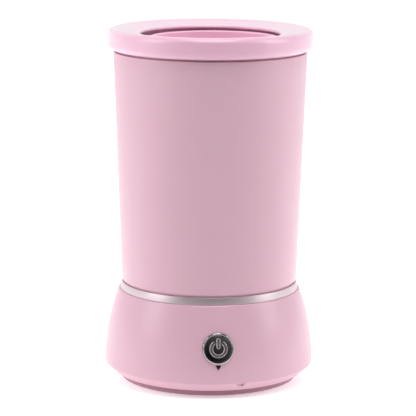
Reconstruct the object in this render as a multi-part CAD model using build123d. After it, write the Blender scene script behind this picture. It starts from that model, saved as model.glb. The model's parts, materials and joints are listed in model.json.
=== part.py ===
from build123d import *
import math
import os

# Countertop wax warmer: a tapered heating cylinder on a flared base, with a soft collar and a lift-out pot.
# Millimetres. +Z is up, the origin is at the centre of the underside, and the power button faces -Y.

# Overall outline.
foot_height = 3.9
base_bottom_radius = 56.2
base_widest_radius = 62.2
base_widest_z = 9.2
base_top_radius = 54.0
base_top_z = 53.7
band_height = 4.4
shell_bottom_radius = 52.1
shell_top_radius = 57.05
shell_height = 137.0
collar_overhang = 3.45
collar_height = 12.4

# Walls and clearances.
base_wall = 2.4
shell_wall = 2.2
fit = 0.1                 # between pieces that locate each other
loose = 0.3               # between pieces that come apart by hand
running = 0.08            # sliding plunger in its bore
seat = 0.1                # under pieces that stand on another piece

# Screws (one family: 3 mm thread).
screw_radius = 1.25
screw_hole_radius = 1.7
screw_head_radius = 2.7
screw_head_height = 1.8
boss_radius = 4.0

# Base.
deck_hole_radius = 30.0
spigot_wall = 2.3
spigot_height = 9.3
cover_thickness = 2.5
cover_ledge_width = 2.3
cover_ledge_height = 2.0
cover_screw_circle = 41.0
cover_screw_angles = (45, 135, 225, 315)
cover_screw_length = 12.0
pocket_wall = 1.5
base_edge_round = 1.2
deck_edge_round = 0.8

# Foot ring.
foot_inner_radius = 46.0
foot_inset = 3.2          # the ring's outer wall stands in from the base's lower edge
foot_draft = 0.8
tongue_inner_radius = 48.0
tongue_width = 3.0
tongue_height = 1.0

# Trim band and cylinder shell.
band_top_overhang = 0.1
band_flare = 0.85         # the band leans out towards its lower edge
shadow_gap = 1.2
shadow_depth = 1.2
shell_post_circle = 42.5
shell_post_angles = (30, 150, 270)
shell_post_height = 19.9  # above the band
shell_post_web = 2.4
shell_screw_length = 14.0
ledge_clearance = 4.0     # between the ledge and the well's inside
ledge_thickness = 2.5
ledge_drop = 8.6          # below the shell's top

# Collar.
collar_gap = 1.3          # dark reveal between shell and collar
collar_top_round = 3.9
collar_low_round = 4.5
collar_top_drop = 2.7
collar_lip = 1.8
collar_skirt_wall = 3.5
collar_ceiling = 4.2
collar_hole_margin = 0.4  # the lip stands back from the well's inside

# Heating well.
well_radius = 40.8
well_wall = 1.2
well_floor = 4.0
well_floor_height = 35.9  # above the band
well_flange_margin = 2.2  # inside the shell's wall
gasket_thickness = 1.0
well_boss_radius = 2.8
well_screw_angles = (90, 210, 330)
well_screw_length = 10.0

# Lift-out pot.
pot_gap = 3.4             # all round, inside the well
pot_wall = 1.6
pot_top_drop = 5.3        # below the collar's top
pot_rim = 1.4
pot_rim_height = 2.0
pot_corner = 6.0
pot_offset = 1.9          # the pot stands loose in the well, towards +X

# Heater and insulation.
heater_thickness = 1.4
heater_rise = 10.0        # above the well's underside
heater_height = 60.0
heater_gap = 9.0
ear_length = 8.5
clamp_reach = 5.0         # bolt axis beyond the well's wall
ear_height = 20.0
clamp_radius = 2.0
clamp_head_radius = 3.5
clamp_head_height = 3.4
terminal_size = (4.0, 5.0, 8.0)
terminal_offset = 9.5
terminal_overhang = 4.1
sleeve_thickness = 4.6
sleeve_below = 4.0        # past the heater's lower edge
sleeve_above = 8.0        # past its upper edge
sleeve_gap = 28.0
shield_radius = 46.8
shield_thickness = 1.0
shield_hole_radius = 11.0
grommet_hole_radius = 5.2
grommet_wall = 1.0
grommet_lip = 1.2
grommet_y = 36.0

# Thermostat and thermal fuse under the well.
thermostat_radius = 8.0
thermostat_height = 9.5
thermostat_flange = (25.0, 8.0, 1.5)
thermostat_hole_spacing = 19.0
thermostat_tab = (0.8, 6.3, 7.0)
thermostat_tab_offset = 4.0
sensor_screw_length = 2.5
fuse_radius = 1.9
fuse_length = 12.0
fuse_pin_radius = 0.5
fuse_pin_length = 8.0
fuse_y = -22.0
clip_thickness = 0.8
clip_width = 5.0
clip_foot = 6.0

# Circuit board on the bottom cover.
board_size = (62.0, 44.0, 1.6)
board_height = 6.6        # standoffs above the cover
board_hole_inset = 4.0
standoff_radius = 3.0
board_screw_length = 5.0
relay_size = (15.0, 19.0, 15.0)
relay_xy = (-19.0, -3.5)
capacitor_radius = 6.0
capacitor_height = 18.0
capacitor_xy = (18.0, -8.0)
block_size = (34.0, 9.0, 10.0)
block_y = 14.0
vent_size = (3.0, 20.0)
vent_pitch = 9.0
vent_count = 5

# Push button, on an axis square to the base wall.
button_z = 30.0
button_barrel_radius = 8.0
button_head_lip = 1.0
button_head_proud = 0.9
button_seat_depth = 1.6
button_seal_thickness = 0.5
button_cap_rim = 1.2      # the bezel's rim round the cap and its gap
button_cap_gap = 0.15
button_cap_thickness = 0.8
button_cap_proud = 0.5
button_travel = 1.4
plunger_step = 2.5        # barrel wall round the plunger
plunger_bottom = -12.5
plunger_wall = 1.3
plunger_bore_top = -5.0
barrel_bottom = -18.0
pad_margin = 0.3
pad_depth = 4.0
nut_wall = 1.5
nut_height = 3.0
nut_notch = 2.0
block_step = 0.8
block_bottom = -24.0
block_spigot_top = -15.0
spring_clearance = 0.8
spring_wire_radius = 0.3
spring_turns = 5
switch_tab = (2.8, 0.8, 6.0)
switch_tab_offset = 3.5
symbol_outer_radius = 5.2
symbol_inner_radius = 3.2
symbol_gap_angle = 60.0
symbol_bar = (2.2, 6.3)
symbol_proud = 0.25
symbol_depth = 0.4
cap_edge_round = 0.3

# Indicator below the button.
lens_clearance = 0.6      # below the bezel
lens_height = 2.9
lens_width = 3.2
lens_face = -0.2
lens_back = -2.2
led_radius = 1.5
led_clearance = 0.2       # below the ring nut
led_length = 5.0
led_pin_radius = 0.25
led_pin_length = 3.0
led_pin_offset = 1.3

# Alignment tick on the lower edge.
tick_angle = 12.0
tick_z = 8.2
tick_size = (4.4, 2.0)
tick_depth = 1.4
tick_tilt = 14.0

# Mains inlet at the back.
inlet_z = 22.0
inlet_plane_y = 57.2
inlet_flange = (32.0, 15.0, 1.8)
inlet_body = (20.0, 12.0)
inlet_back_y = 43.0
inlet_pad = (37.0, 20.0, 4.0)
inlet_screw_offset = 13.0
inlet_screw_length = 8.0
socket_lobe_radius = 4.4
socket_waist = 6.9
socket_floor_y = 47.5
pin_radius = 1.2
pin_offset = 4.3
pin_tip_y = 55.5
pin_tab = (4.8, 6.0, 0.8)

# Insulated leads.
lead_radius = 1.0
led_lead_radius = 0.5
heater_pole = 2.5         # terminal block poles, out from its middle
thermostat_pole = 9.0
inlet_pole = 12.5
inlet_lead_straight = 6.0
deck_approach = 6.7       # heater leads start to lean over this far below the deck
spigot_clearance = 1.0    # and are upright again this far above the spigot
shield_clearance = 6.0
heater_lead_drop = 9.0
thermostat_lead_rise = 16.0
thermostat_lead_drop = 17.0
switch_lead_straight = 7.0
switch_lead_inset = 10.0
switch_lead_rise = 8.0
lamp_lead_straight = 6.0

# Heights and radii that follow.
band_top_z = base_top_z + band_height
shell_top_z = band_top_z + shell_height
shell_post_top_z = band_top_z + shell_post_height
ledge_z = shell_top_z - ledge_drop
well_floor_z = band_top_z + well_floor_height
heater_low_z = well_floor_z + heater_rise
heater_high_z = heater_low_z + heater_height
sleeve_low_z = heater_low_z - sleeve_below
sleeve_high_z = heater_high_z + sleeve_above
shell_slope = (shell_top_radius - shell_bottom_radius) / (shell_top_z - band_top_z)
spigot_radius = shell_bottom_radius - shell_wall - fit
cover_top_z = foot_height + cover_thickness
cover_radius = base_bottom_radius - base_wall - loose
deck_low_z = base_top_z - base_wall
board_low_z = cover_top_z + board_height
board_top_z = board_low_z + board_size[2]
pocket_top_z = cover_top_z + cover_thickness
gasket_low_z = ledge_z + ledge_thickness
flange_low_z = gasket_low_z + gasket_thickness
flange_top_z = flange_low_z + well_wall
collar_low_z = shell_top_z + collar_gap
collar_top_z = collar_low_z + collar_height
collar_radius = shell_top_radius + collar_overhang
collar_hole_radius = well_radius + collar_hole_margin
ledge_inner_radius = well_radius + ledge_clearance
well_screw_circle = ledge_inner_radius + well_boss_radius
pot_radius = well_radius - pot_gap
pot_top_z = collar_top_z - pot_top_drop
heater_radius = well_radius + well_wall + heater_thickness
sleeve_radius = heater_radius + fit
terminal_reach = heater_radius + terminal_overhang
button_head_radius = button_barrel_radius + button_head_lip
button_cap_radius = button_head_radius - button_cap_rim
plunger_radius = button_barrel_radius - plunger_step
plunger_bore_radius = plunger_radius - plunger_wall
spring_radius = plunger_bore_radius - spring_clearance
nut_radius = button_barrel_radius + nut_wall
block_radius = button_barrel_radius - block_step
lens_top = -button_head_radius - lens_clearance
led_offset = -nut_radius - led_radius - led_clearance
pad_radius = -led_offset + led_radius + pad_margin
rise = base_top_z - base_widest_z
narrowing = base_widest_radius - base_top_radius
arc_radius = (rise ** 2 + narrowing ** 2) / (2 * narrowing)
arc_centre_r = base_widest_radius - arc_radius


def base_radius(z, inward=0.0):
    """Radius of the base's flared side at height z, or of a wall that lies inward of it."""
    return arc_centre_r + math.sqrt((arc_radius - inward) ** 2 - (z - base_widest_z) ** 2)


def shell_radius(z):
    """Outer radius of the tapered cylinder at height z."""
    return shell_bottom_radius + shell_slope * (z - band_top_z)


well_flange_radius = shell_radius(flange_top_z) - shell_wall - well_flange_margin

button_slope = math.asin((button_z - base_widest_z) / arc_radius)
button_plane = Plane(
    origin=(0, -base_radius(button_z), button_z),
    x_dir=(1, 0, 0),
    z_dir=(0, -math.cos(button_slope), math.sin(button_slope)),
)


def turned(*edges):
    """Solid of revolution about Z from a closed outline of edges drawn as radius and height."""
    return revolve(Plane.XZ * make_face(edges), Axis.Z)


def turned_points(points):
    """Solid of revolution about Z from straight-sided points of radius and height."""
    return turned(Polyline(*points, close=True))


def ring(inner, outer, low, high):
    """Flat-ended ring about Z."""
    return Pos(0, 0, low) * extrude(Circle(outer) - Circle(inner), high - low)


def rod(x, y, radius, low, high):
    """Upright cylinder."""
    return Pos(x, y, low) * extrude(Circle(radius), high - low)


def block(size, x, y, low):
    """Upright box that stands on the height low."""
    return Pos(x, y, low) * Box(*size, align=(Align.CENTER, Align.CENTER, Align.MIN))


def around(circle, angles):
    """Places on a circle about Z, one for each angle in degrees."""
    return [(circle * math.cos(math.radians(a)), circle * math.sin(math.radians(a))) for a in angles]


def screw(x, y, head_z, length, points_up):
    """Pan-head screw whose head bears on head_z, with a cross recess."""
    way = 1 if points_up else -1
    body = Cylinder(screw_radius, length, align=(Align.CENTER, Align.CENTER, Align.MIN))
    head = Cylinder(screw_head_radius, screw_head_height, align=(Align.CENTER, Align.CENTER, Align.MAX))
    head = fillet(head.edges().group_by(Axis.Z)[0], screw_head_height / 3)
    recess_depth = screw_head_height / 2
    for turn in (0, 90):
        slot = Box(screw_head_radius * 1.2, screw_radius / 2, recess_depth)
        head -= Pos(0, 0, -screw_head_height + recess_depth / 2) * Rot(0, 0, turn) * slot
    tilt = 0 if way == 1 else 180
    return Pos(x, y, head_z) * Rot(tilt, 0, 0) * (body + head)


def lead(points, radius):
    """Insulated wire of straight runs joined by tangent arcs as large as the runs allow."""
    corners = [Vector(*p) for p in points]
    radii = []
    for before, corner, after in zip(corners, corners[1:], corners[2:]):
        turn = math.radians((corner - before).get_angle(after - corner))
        shorter = min((corner - before).length, (after - corner).length)
        radii.append(0.45 * shorter / math.tan(turn / 2))
    path = FilletPolyline(*corners, radius=radii)
    print("lead", [round(r, 1) for r in radii], "length", round(path.length, 1))
    return sweep(Plane(origin=path @ 0, z_dir=path % 0) * Circle(radius), path=path)


def on_button(solid):
    """Moves a solid drawn on the button's own axis to its place in the base wall."""
    return button_plane.location * solid


def button_point(x, y, z):
    """Point given on the button's own axes."""
    return tuple(button_plane.from_local_coords(Vector(x, y, z)))


def both_sides(make):
    """Two solids, one for +X and one for -X."""
    return [make(1), make(-1)]


# Base and foot.

def base_outline():
    """Filled outside shape of the base: chamfered foot edge, then an arc that is upright at its widest."""
    side = RadiusArc(
        (base_widest_radius, base_widest_z), (base_top_radius, base_top_z), -arc_radius
    )
    foot_edge = Polyline(
        (0, base_top_z), (0, foot_height), (base_bottom_radius, foot_height),
        (base_widest_radius, base_widest_z),
    )
    top = Line((base_top_radius, base_top_z), (0, base_top_z))
    solid = turned(foot_edge, side, top)
    rims = solid.edges().filter_by(GeomType.CIRCLE)
    widest = [e for e in rims if abs(e.radius - base_widest_radius) < 0.01]
    solid = fillet(widest, base_edge_round)
    upper = [e for e in solid.edges().filter_by(GeomType.CIRCLE) if abs(e.radius - base_top_radius) < 0.01]
    return fillet(upper, deck_edge_round)


def base_cavity():
    """Room inside the base between the cover ledge and the deck, one wall inside the outline."""
    low = cover_top_z + cover_ledge_height
    corner_z = base_widest_z + base_edge_round / 2
    low_radius = base_radius(corner_z, base_wall) - (corner_z - low)
    middle_z = (corner_z + deck_low_z) / 2
    side = ThreePointArc(
        (base_radius(corner_z, base_wall), corner_z),
        (base_radius(middle_z, base_wall), middle_z),
        (base_radius(deck_low_z, base_wall), deck_low_z),
    )
    rest = Polyline(
        (base_radius(deck_low_z, base_wall), deck_low_z), (0, deck_low_z), (0, low), (low_radius, low),
        (base_radius(corner_z, base_wall), corner_z),
    )
    return turned(side, rest)


def make_base_housing():
    outline = base_outline()
    housing = outline - base_cavity()
    opening = cover_radius + loose
    housing -= rod(0, 0, opening, foot_height, cover_top_z)
    housing -= rod(0, 0, opening - cover_ledge_width, cover_top_z, cover_top_z + cover_ledge_height)
    housing -= rod(0, 0, deck_hole_radius, deck_low_z, base_top_z)
    housing += ring(spigot_radius - spigot_wall, spigot_radius, base_top_z, base_top_z + spigot_height)
    boss_low = pocket_top_z + seat
    for x, y in around(cover_screw_circle, cover_screw_angles):
        housing += rod(x, y, boss_radius, boss_low, deck_low_z)
        housing -= rod(x, y, screw_radius, boss_low, boss_low + cover_screw_length)
    for x, y in around(shell_post_circle, shell_post_angles):
        housing -= rod(x, y, screw_hole_radius, deck_low_z, base_top_z)
    pad = on_button(Pos(0, 0, -pad_depth) * extrude(Circle(pad_radius), pad_depth))
    inlet_pad_y = inlet_plane_y - inlet_pad[2]
    inlet_box = Pos(0, inlet_pad_y, inlet_z) * Box(
        inlet_pad[0], base_widest_radius, inlet_pad[1], align=(Align.CENTER, Align.MIN, Align.CENTER)
    )
    housing += pad & outline
    housing += inlet_box & outline
    return housing - button_cuts() - inlet_cuts() - tick_cut()


def button_cuts():
    """Spot-face, barrel hole, lens slot and lamp hole."""
    seat_radius = button_head_radius + loose
    face = Pos(0, 0, -button_seat_depth) * extrude(Circle(seat_radius), base_wall * 2)
    hole = Pos(0, 0, -pad_depth * 2) * extrude(Circle(button_barrel_radius + fit), pad_depth * 2)
    slot = Pos(0, 0, lens_back) * extrude(lens_outline(fit / 2), -lens_back * 2)
    lamp = Pos(0, led_offset, lens_back - led_length) * extrude(Circle(led_radius + fit / 2), led_length)
    return on_button(face + hole) + on_button(slot + lamp)


def inlet_cuts():
    """Flat recess for the inlet's flange, the body opening and two screw holes."""
    recess = Pos(0, inlet_plane_y, inlet_z) * Box(
        inlet_flange[0] + loose * 2, base_wall * 4, inlet_flange[1] + loose * 2,
        align=(Align.CENTER, Align.MIN, Align.CENTER),
    )
    through = Pos(0, inlet_back_y, inlet_z) * Box(
        inlet_body[0] + fit * 2, base_wall * 8, inlet_body[1] + fit * 2,
        align=(Align.CENTER, Align.MIN, Align.CENTER),
    )
    cuts = recess + through
    for side in (1, -1):
        cuts += Pos(side * inlet_screw_offset, inlet_plane_y, inlet_z) * Rot(90, 0, 0) * extrude(
            Circle(screw_radius), inlet_screw_length
        )
    return cuts


def tick_cut():
    """Small notch in the lower edge, deep at one end and running out at the other."""
    angle = math.radians(tick_angle)
    radius = base_bottom_radius + (tick_z - foot_height) - tick_depth / 2
    place = Pos(radius * math.sin(angle), -radius * math.cos(angle), tick_z)
    wedge = Box(tick_size[0], tick_depth * 3, tick_size[1], align=(Align.CENTER, Align.MAX, Align.CENTER))
    return place * Rot(0, 0, tick_angle + tick_tilt) * wedge


def make_bottom_cover():
    cover = rod(0, 0, cover_radius, foot_height, cover_top_z)
    groove_outer = tongue_inner_radius + tongue_width
    cover -= ring(tongue_inner_radius, groove_outer, foot_height, foot_height + tongue_height)
    head_room = screw_head_radius + 2 * loose
    head_top = foot_height + screw_head_height + fit
    for x, y in around(cover_screw_circle, cover_screw_angles):
        cover += rod(x, y, head_room + pocket_wall, cover_top_z, pocket_top_z)
        cover -= rod(x, y, head_room, foot_height, head_top)
        cover -= rod(x, y, screw_hole_radius, foot_height, pocket_top_z)
    for x, y in board_corners():
        cover += rod(x, y, standoff_radius, cover_top_z, board_low_z)
        cover -= rod(x, y, screw_radius, board_low_z - board_screw_length, board_low_z)
    slot = extrude(SlotOverall(vent_size[1], vent_size[0], rotation=90), cover_thickness)
    first = -vent_pitch * (vent_count - 1) / 2
    for index in range(vent_count):
        cover -= Pos(first + index * vent_pitch, 0, foot_height) * slot
    return cover


def make_foot_ring():
    outer = base_bottom_radius - foot_inset
    foot = turned_points([
        (foot_inner_radius, 0), (outer - foot_draft, 0), (outer, foot_draft * 1.5), (outer, foot_height),
        (foot_inner_radius, foot_height),
    ])
    tongue_outer = tongue_inner_radius + tongue_width - fit
    return foot + ring(
        tongue_inner_radius + fit, tongue_outer, foot_height, foot_height + tongue_height - fit
    )


def make_cover_screws():
    head_z = foot_height + screw_head_height + fit
    length = cover_screw_length
    return [screw(x, y, head_z, length, True) for x, y in around(cover_screw_circle, cover_screw_angles)]


# Trim band, shell and collar.

def make_trim_band():
    top = shell_bottom_radius + band_top_overhang
    inner = spigot_radius + fit
    return turned_points([
        (inner, base_top_z), (top + band_flare, base_top_z), (top, band_top_z), (inner, band_top_z),
    ])


def make_body_shell():
    """Tapered tube with a stepped lower edge, screw posts near the base and a ledge for the well."""
    low = band_top_z
    step_z = low + shadow_gap
    shell = turned_points([
        (shell_radius(low) - shell_wall, low),
        (shell_radius(low) - shadow_depth, low),
        (shell_radius(step_z) - shadow_depth, step_z),
        (shell_radius(step_z), step_z),
        (shell_top_radius, shell_top_z),
        (shell_top_radius - shell_wall, shell_top_z),
    ])
    post_low = base_top_z
    web_low = base_top_z + spigot_height + fit * 5
    for angle, (x, y) in zip(shell_post_angles, around(shell_post_circle, shell_post_angles)):
        shell += rod(x, y, boss_radius, post_low, shell_post_top_z)
        reach = shell_radius(web_low) - shell_wall / 2 - shell_post_circle
        web = Pos(shell_post_circle, 0, 0) * Box(
            reach, shell_post_web, shell_post_top_z - web_low, align=(Align.MIN, Align.CENTER, Align.MIN)
        )
        shell += Pos(0, 0, web_low) * Rot(0, 0, angle) * web
        shell -= rod(x, y, screw_radius, post_low, post_low + shell_screw_length)
        shell -= rod(x, y, screw_radius, shell_post_top_z - board_screw_length, shell_post_top_z)
    ledge_outer = shell_radius(ledge_z) - shell_wall / 2
    shell += ring(ledge_inner_radius, ledge_outer, ledge_z, gasket_low_z)
    for x, y in around(well_screw_circle, well_screw_angles):
        boss_low = gasket_low_z - well_screw_length
        shell += rod(x, y, well_boss_radius, boss_low, gasket_low_z)
        shell -= rod(x, y, screw_radius, boss_low + well_wall, gasket_low_z)
    return shell


def make_shell_screws():
    places = around(shell_post_circle, shell_post_angles)
    length = shell_screw_length + base_wall - seat
    return [screw(x, y, deck_low_z, length, True) for x, y in places]


def make_collar_ring():
    """Soft collar: rounded outer bead, thin sloping lip over a hollow, and a skirt that plugs the shell."""
    crown_r = collar_radius - collar_top_round
    low_r = collar_radius - collar_low_round
    side_high = collar_top_z - collar_top_round
    side_low = collar_low_z + collar_low_round
    lip_top = collar_top_z - collar_top_drop
    lip_low = lip_top - collar_lip
    skirt_outer = shell_radius(flange_top_z) - shell_wall - loose
    skirt_inner = skirt_outer - collar_skirt_wall
    skirt_low = flange_top_z + seat
    half = collar_lip / 2
    edges = [
        Line((low_r, collar_low_z), (skirt_outer, collar_low_z)),
        Line((skirt_outer, collar_low_z), (skirt_outer, skirt_low)),
        Line((skirt_outer, skirt_low), (skirt_inner, skirt_low)),
        Line((skirt_inner, skirt_low), (skirt_inner, collar_top_z - collar_ceiling)),
        Line((skirt_inner, collar_top_z - collar_ceiling), (collar_hole_radius + half, lip_low)),
        ThreePointArc(
            (collar_hole_radius + half, lip_low), (collar_hole_radius, lip_low + half),
            (collar_hole_radius + half, lip_top),
        ),
        Line((collar_hole_radius + half, lip_top), (crown_r, collar_top_z)),
        CenterArc((crown_r, side_high), collar_top_round, 0, 90),
        Line((collar_radius, side_high), (collar_radius, side_low)),
        CenterArc((low_r, side_low), collar_low_round, 270, 90),
    ]
    return turned(*edges)


# Well, heater and pot.

def make_heater_well():
    outer = well_radius + well_wall
    floor_top = well_floor_z + well_floor
    well = turned_points([
        (0, well_floor_z), (outer, well_floor_z), (outer, flange_low_z), (well_flange_radius, flange_low_z),
        (well_flange_radius, flange_top_z), (well_radius, flange_top_z), (well_radius, floor_top),
        (0, floor_top),
    ])
    for x, y in around(well_screw_circle, well_screw_angles):
        well -= rod(x, y, screw_hole_radius, flange_low_z, flange_top_z)
    for x, y in sensor_holes():
        well -= rod(x, y, screw_radius, well_floor_z, well_floor_z + sensor_screw_length)
    return well


def make_well_gasket():
    inner = ledge_inner_radius + fit
    gasket = ring(inner, well_flange_radius - loose, gasket_low_z, flange_low_z)
    for x, y in around(well_screw_circle, well_screw_angles):
        gasket -= rod(x, y, screw_hole_radius, gasket_low_z, flange_low_z)
    return gasket


def make_well_screws():
    return [
        screw(x, y, flange_top_z, well_screw_length - well_wall, False)
        for x, y in around(well_screw_circle, well_screw_angles)
    ]


def make_inner_pot():
    """Plain deep pot with a rolled rim."""
    low = well_floor_z + well_floor + seat
    rim_outer = pot_radius + pot_rim
    rim_half = pot_rim_height / 2
    inner = pot_radius - pot_wall
    inner_corner = pot_corner - pot_wall
    floor = low + pot_wall
    edges = [
        Line((0, low), (pot_radius - pot_corner, low)),
        CenterArc((pot_radius - pot_corner, low + pot_corner), pot_corner, 270, 90),
        Line((pot_radius, low + pot_corner), (pot_radius, pot_top_z - pot_rim_height)),
        Line((pot_radius, pot_top_z - pot_rim_height), (rim_outer - rim_half, pot_top_z - pot_rim_height)),
        CenterArc((rim_outer - rim_half, pot_top_z - rim_half), rim_half, 270, 180),
        Line((rim_outer - rim_half, pot_top_z), (inner + rim_half, pot_top_z)),
        CenterArc((inner + rim_half, pot_top_z - rim_half), rim_half, 90, 90),
        Line((inner, pot_top_z - rim_half), (inner, low + pot_corner)),
        CenterArc((inner - inner_corner, low + pot_corner), inner_corner, 270, 90),
        Line((inner - inner_corner, floor), (0, floor)),
        Line((0, floor), (0, low)),
    ]
    return Pos(pot_offset, 0, 0) * turned(*edges)


def make_band_heater():
    """Split band round the well, drawn tight by a bolt through two ears at the back."""
    band = ring(well_radius + well_wall + fit / 2, heater_radius, heater_low_z, heater_high_z)
    gap = Pos(0, 0, heater_low_z) * Box(
        heater_gap, 2 * heater_radius, heater_high_z - heater_low_z,
        align=(Align.CENTER, Align.MIN, Align.MIN),
    )
    band -= gap
    ear_z = (heater_low_z + heater_high_z) / 2
    ear = Box(heater_thickness, ear_length, ear_height, align=(Align.MIN, Align.MIN, Align.CENTER))
    ear_y = heater_radius - heater_thickness
    for side in (1, -1):
        place = Pos(heater_gap / 2 if side == 1 else -heater_gap / 2 - heater_thickness, ear_y, ear_z)
        band += place * ear
    bolt_hole = Pos(0, clamp_y(), ear_z) * Rot(0, 90, 0) * Cylinder(
        clamp_radius + fit, heater_gap + 4 * heater_thickness
    )
    return band - bolt_hole


def clamp_y():
    """Distance of the clamp bolt from the axis."""
    return heater_radius - heater_thickness + clamp_reach


def make_clamp_bolt():
    """Clamp bolt with its nut, along X."""
    grip = heater_gap / 2 + heater_thickness
    shank = Cylinder(clamp_radius, 2 * grip, align=(Align.CENTER, Align.CENTER, Align.CENTER))
    head = Pos(0, 0, grip) * Cylinder(
        clamp_head_radius, clamp_head_height, align=(Align.CENTER, Align.CENTER, Align.MIN)
    )
    nut = Pos(0, 0, -grip - clamp_head_height) * extrude(
        RegularPolygon(clamp_head_radius, 6), clamp_head_height
    )
    ear_z = (heater_low_z + heater_high_z) / 2
    return Pos(0, clamp_y(), ear_z) * Rot(0, 90, 0) * (shank + head + nut)


def make_heater_terminals():
    def one(side):
        width, depth, height = terminal_size
        box = Pos(side * terminal_offset, terminal_reach, heater_low_z + height / 2) * Box(
            width, depth + heater_thickness, height, align=(Align.CENTER, Align.MAX, Align.MIN)
        )
        return box - rod(0, 0, heater_radius, heater_low_z, heater_high_z)
    return both_sides(one)


def make_insulation_sleeve():
    sleeve = ring(sleeve_radius, sleeve_radius + sleeve_thickness, sleeve_low_z, sleeve_high_z)
    return sleeve - Pos(0, 0, sleeve_low_z) * Box(
        sleeve_gap, 2 * shield_radius, sleeve_high_z - sleeve_low_z,
        align=(Align.CENTER, Align.MIN, Align.MIN),
    )


def make_heat_shield():
    low = shell_post_top_z
    shield = ring(shield_hole_radius, shield_radius, low, low + shield_thickness)
    shield -= rod(0, grommet_y, grommet_hole_radius, low, low + shield_thickness)
    for x, y in around(shell_post_circle, shell_post_angles):
        shield -= rod(x, y, screw_hole_radius, low, low + shield_thickness)
    return shield


def make_shield_screws():
    places = around(shell_post_circle, shell_post_angles)
    head_z = shell_post_top_z + shield_thickness
    return [screw(x, y, head_z, board_screw_length, False) for x, y in places]


def make_wire_grommet():
    low = shell_post_top_z - grommet_wall
    high = shell_post_top_z + shield_thickness + grommet_wall
    inner = grommet_hole_radius - grommet_wall
    outer = grommet_hole_radius + grommet_lip
    grommet = turned_points([(inner, low), (outer, low), (outer, high), (inner, high)])
    groove = ring(grommet_hole_radius, outer, shell_post_top_z, shell_post_top_z + shield_thickness)
    return Pos(0, grommet_y, 0) * (grommet - groove)


def sensor_holes():
    """Screw places in the well's floor: two for the thermostat and two for the fuse clip."""
    half = thermostat_hole_spacing / 2
    foot = fuse_radius + clip_thickness + clip_foot / 2
    return [(half, 0), (-half, 0), (0, fuse_y + foot), (0, fuse_y - foot)]


def make_thermostat():
    length, width, thickness = thermostat_flange
    flange = Pos(0, 0, well_floor_z - thickness) * extrude(SlotOverall(length, width), thickness)
    body = rod(0, 0, thermostat_radius, thermostat_low(), well_floor_z - thickness)
    thermostat = flange + body
    for x, y in sensor_holes()[:2]:
        thermostat -= rod(x, y, screw_radius + fit, well_floor_z - thickness, well_floor_z)
        thermostat -= rod(x, y, screw_head_radius + fit, thermostat_low(), well_floor_z - thickness)
    return thermostat


def thermostat_low():
    return well_floor_z - thermostat_flange[2] - thermostat_height


def make_thermostat_tabs():
    low = thermostat_low() - thermostat_tab[2]
    return both_sides(lambda side: block(thermostat_tab, side * thermostat_tab_offset, 0, low))


def make_sensor_screws():
    """Screws that hold the thermostat and the fuse clip to the well."""
    holes = sensor_holes()
    clamped = [(holes[:2], thermostat_flange[2]), (holes[2:], clip_thickness)]
    return [
        screw(x, y, well_floor_z - thickness, sensor_screw_length + thickness - seat, True)
        for places, thickness in clamped
        for x, y in places
    ]


def make_thermal_fuse():
    centre_z = well_floor_z - seat - fuse_radius
    length = fuse_length + 2 * fuse_pin_length
    body = Cylinder(fuse_radius, fuse_length) + Cylinder(fuse_pin_radius, length)
    return Pos(0, fuse_y, centre_z) * Rot(0, 90, 0) * body


def make_fuse_clip():
    """Saddle strap, with a foot on each side, that holds the fuse up against the well."""
    centre_z = well_floor_z - seat - fuse_radius
    inner = fuse_radius + fit / 2
    outer = inner + clip_thickness
    rise_to_well = well_floor_z - centre_z
    lie_along_x = Pos(0, fuse_y, centre_z) * Rot(0, 90, 0)
    upper = (Align.CENTER, Align.CENTER, Align.MIN)
    strap = lie_along_x * Cylinder(outer, clip_width)
    strap += Pos(0, fuse_y, centre_z) * Box(clip_width, 2 * outer, rise_to_well, align=upper)
    strap += Pos(0, fuse_y, well_floor_z - clip_thickness) * Box(
        clip_width, 2 * (outer + clip_foot), clip_thickness, align=upper
    )
    strap -= lie_along_x * Cylinder(inner, clip_width)
    strap -= Pos(0, fuse_y, centre_z) * Box(clip_width, 2 * inner, rise_to_well, align=upper)
    for x, y in sensor_holes()[2:]:
        strap -= rod(x, y, screw_radius + fit, well_floor_z - clip_thickness, well_floor_z)
    return strap & Pos(0, 0, centre_z) * Box(2 * shield_radius, 2 * shield_radius, 2 * rise_to_well)


# Circuit board.

def make_control_board():
    board = block(board_size, 0, 0, board_low_z)
    for x, y in board_corners():
        board -= rod(x, y, screw_hole_radius, board_low_z, board_top_z)
    return board


def board_corners():
    half_x = board_size[0] / 2 - board_hole_inset
    half_y = board_size[1] / 2 - board_hole_inset
    return [(sx * half_x, sy * half_y) for sx in (1, -1) for sy in (1, -1)]


def make_board_screws():
    return [screw(x, y, board_top_z, board_screw_length, False) for x, y in board_corners()]


def make_relay():
    return block(relay_size, *relay_xy, board_top_z)


def make_capacitor():
    can = rod(*capacitor_xy, capacitor_radius, board_top_z, board_top_z + capacitor_height)
    return fillet(can.edges().group_by(Axis.Z)[-1], cap_edge_round * 2)


def make_terminal_block():
    return block(block_size, 0, block_y, board_top_z)


# Push button, on its own axis.

def make_button_bezel():
    """Turned head and barrel in one piece, with a pocket for the cap and a bore for the plunger."""
    head_low = button_seal_thickness - button_seat_depth
    pocket_floor = button_head_proud + button_cap_proud - button_cap_thickness - button_travel
    pocket = button_cap_radius + button_cap_gap
    bore = plunger_radius + running
    chamfer = cap_edge_round
    return on_button(turned_points([
        (bore, barrel_bottom), (button_barrel_radius, barrel_bottom), (button_barrel_radius, head_low),
        (button_head_radius, head_low), (button_head_radius, button_head_proud - chamfer),
        (button_head_radius - chamfer, button_head_proud), (pocket, button_head_proud),
        (pocket, pocket_floor - running), (bore, pocket_floor - running),
    ]))


def make_button_seal():
    high = button_seal_thickness - button_seat_depth
    return on_button(ring(button_barrel_radius + fit, button_head_radius, -button_seat_depth, high))


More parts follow.
